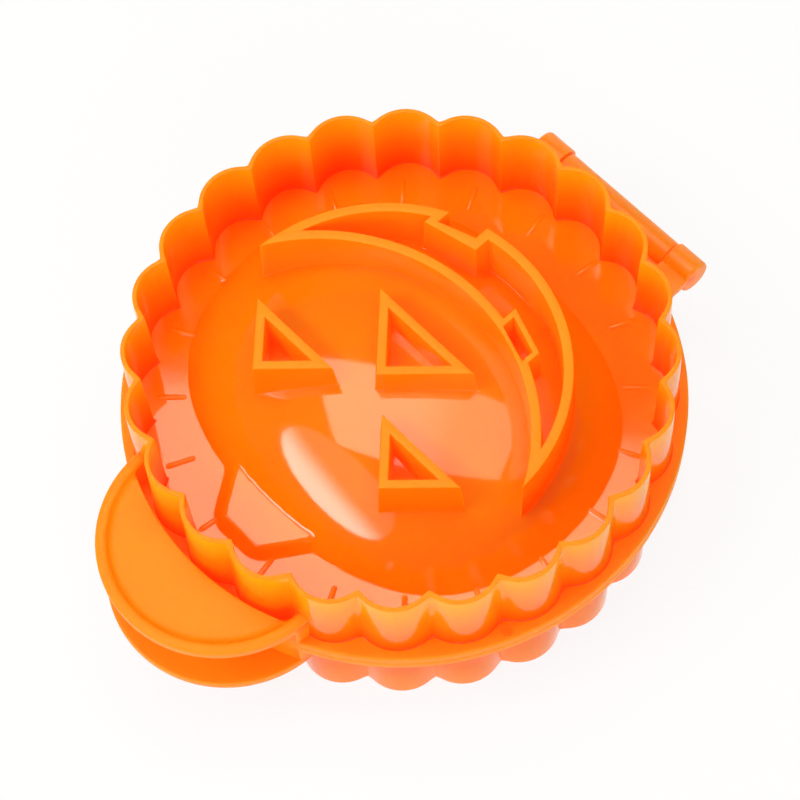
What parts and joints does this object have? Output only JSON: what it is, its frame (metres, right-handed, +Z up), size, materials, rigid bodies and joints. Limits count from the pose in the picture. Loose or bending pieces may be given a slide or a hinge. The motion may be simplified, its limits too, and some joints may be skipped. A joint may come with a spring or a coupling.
{
  "type": "hinged hand-pie mould",
  "caption": "Hinged plastic hand-pie mould with scalloped dough cutters on both sides, a jack-o'-lantern face cutter on a pumpkin dome and crescent finger tabs.",
  "frame": {"origin": "on the ground under the middle of the closed mould's box", "axes": "+Y runs from the handle tabs to the hinge, +Z runs up from the lower rim to the face cutters, +X runs along the hinge line"},
  "size_m": [0.1226, 0.1482, 0.0466],
  "materials": {
    "orange_plastic": "glossy, slightly translucent moulding"
  },
  "bodies": {
    "lower_half": {"lower_tray": "orange_plastic", "lower_cutter_wall": "orange_plastic", "lower_handle": "orange_plastic", "hinge_barrel": "orange_plastic"},
    "upper_half": {"upper_tray": "orange_plastic", "upper_cutter_wall": "orange_plastic", "left_eye_cutter": "orange_plastic", "right_eye_cutter": "orange_plastic", "nose_cutter": "orange_plastic", "mouth_cutter": "orange_plastic", "upper_handle": "orange_plastic", "left_hinge_ear": "orange_plastic", "right_hinge_ear": "orange_plastic"}
  },
  "joints": [
    {"name": "lid_hinge", "type": "hinge", "parent": "lower_half", "child": "upper_half", "pos_m": [0, 0.0702, 0.0233], "axis": [-1, 0, 0], "range_deg": [0, 180]}
  ]
}
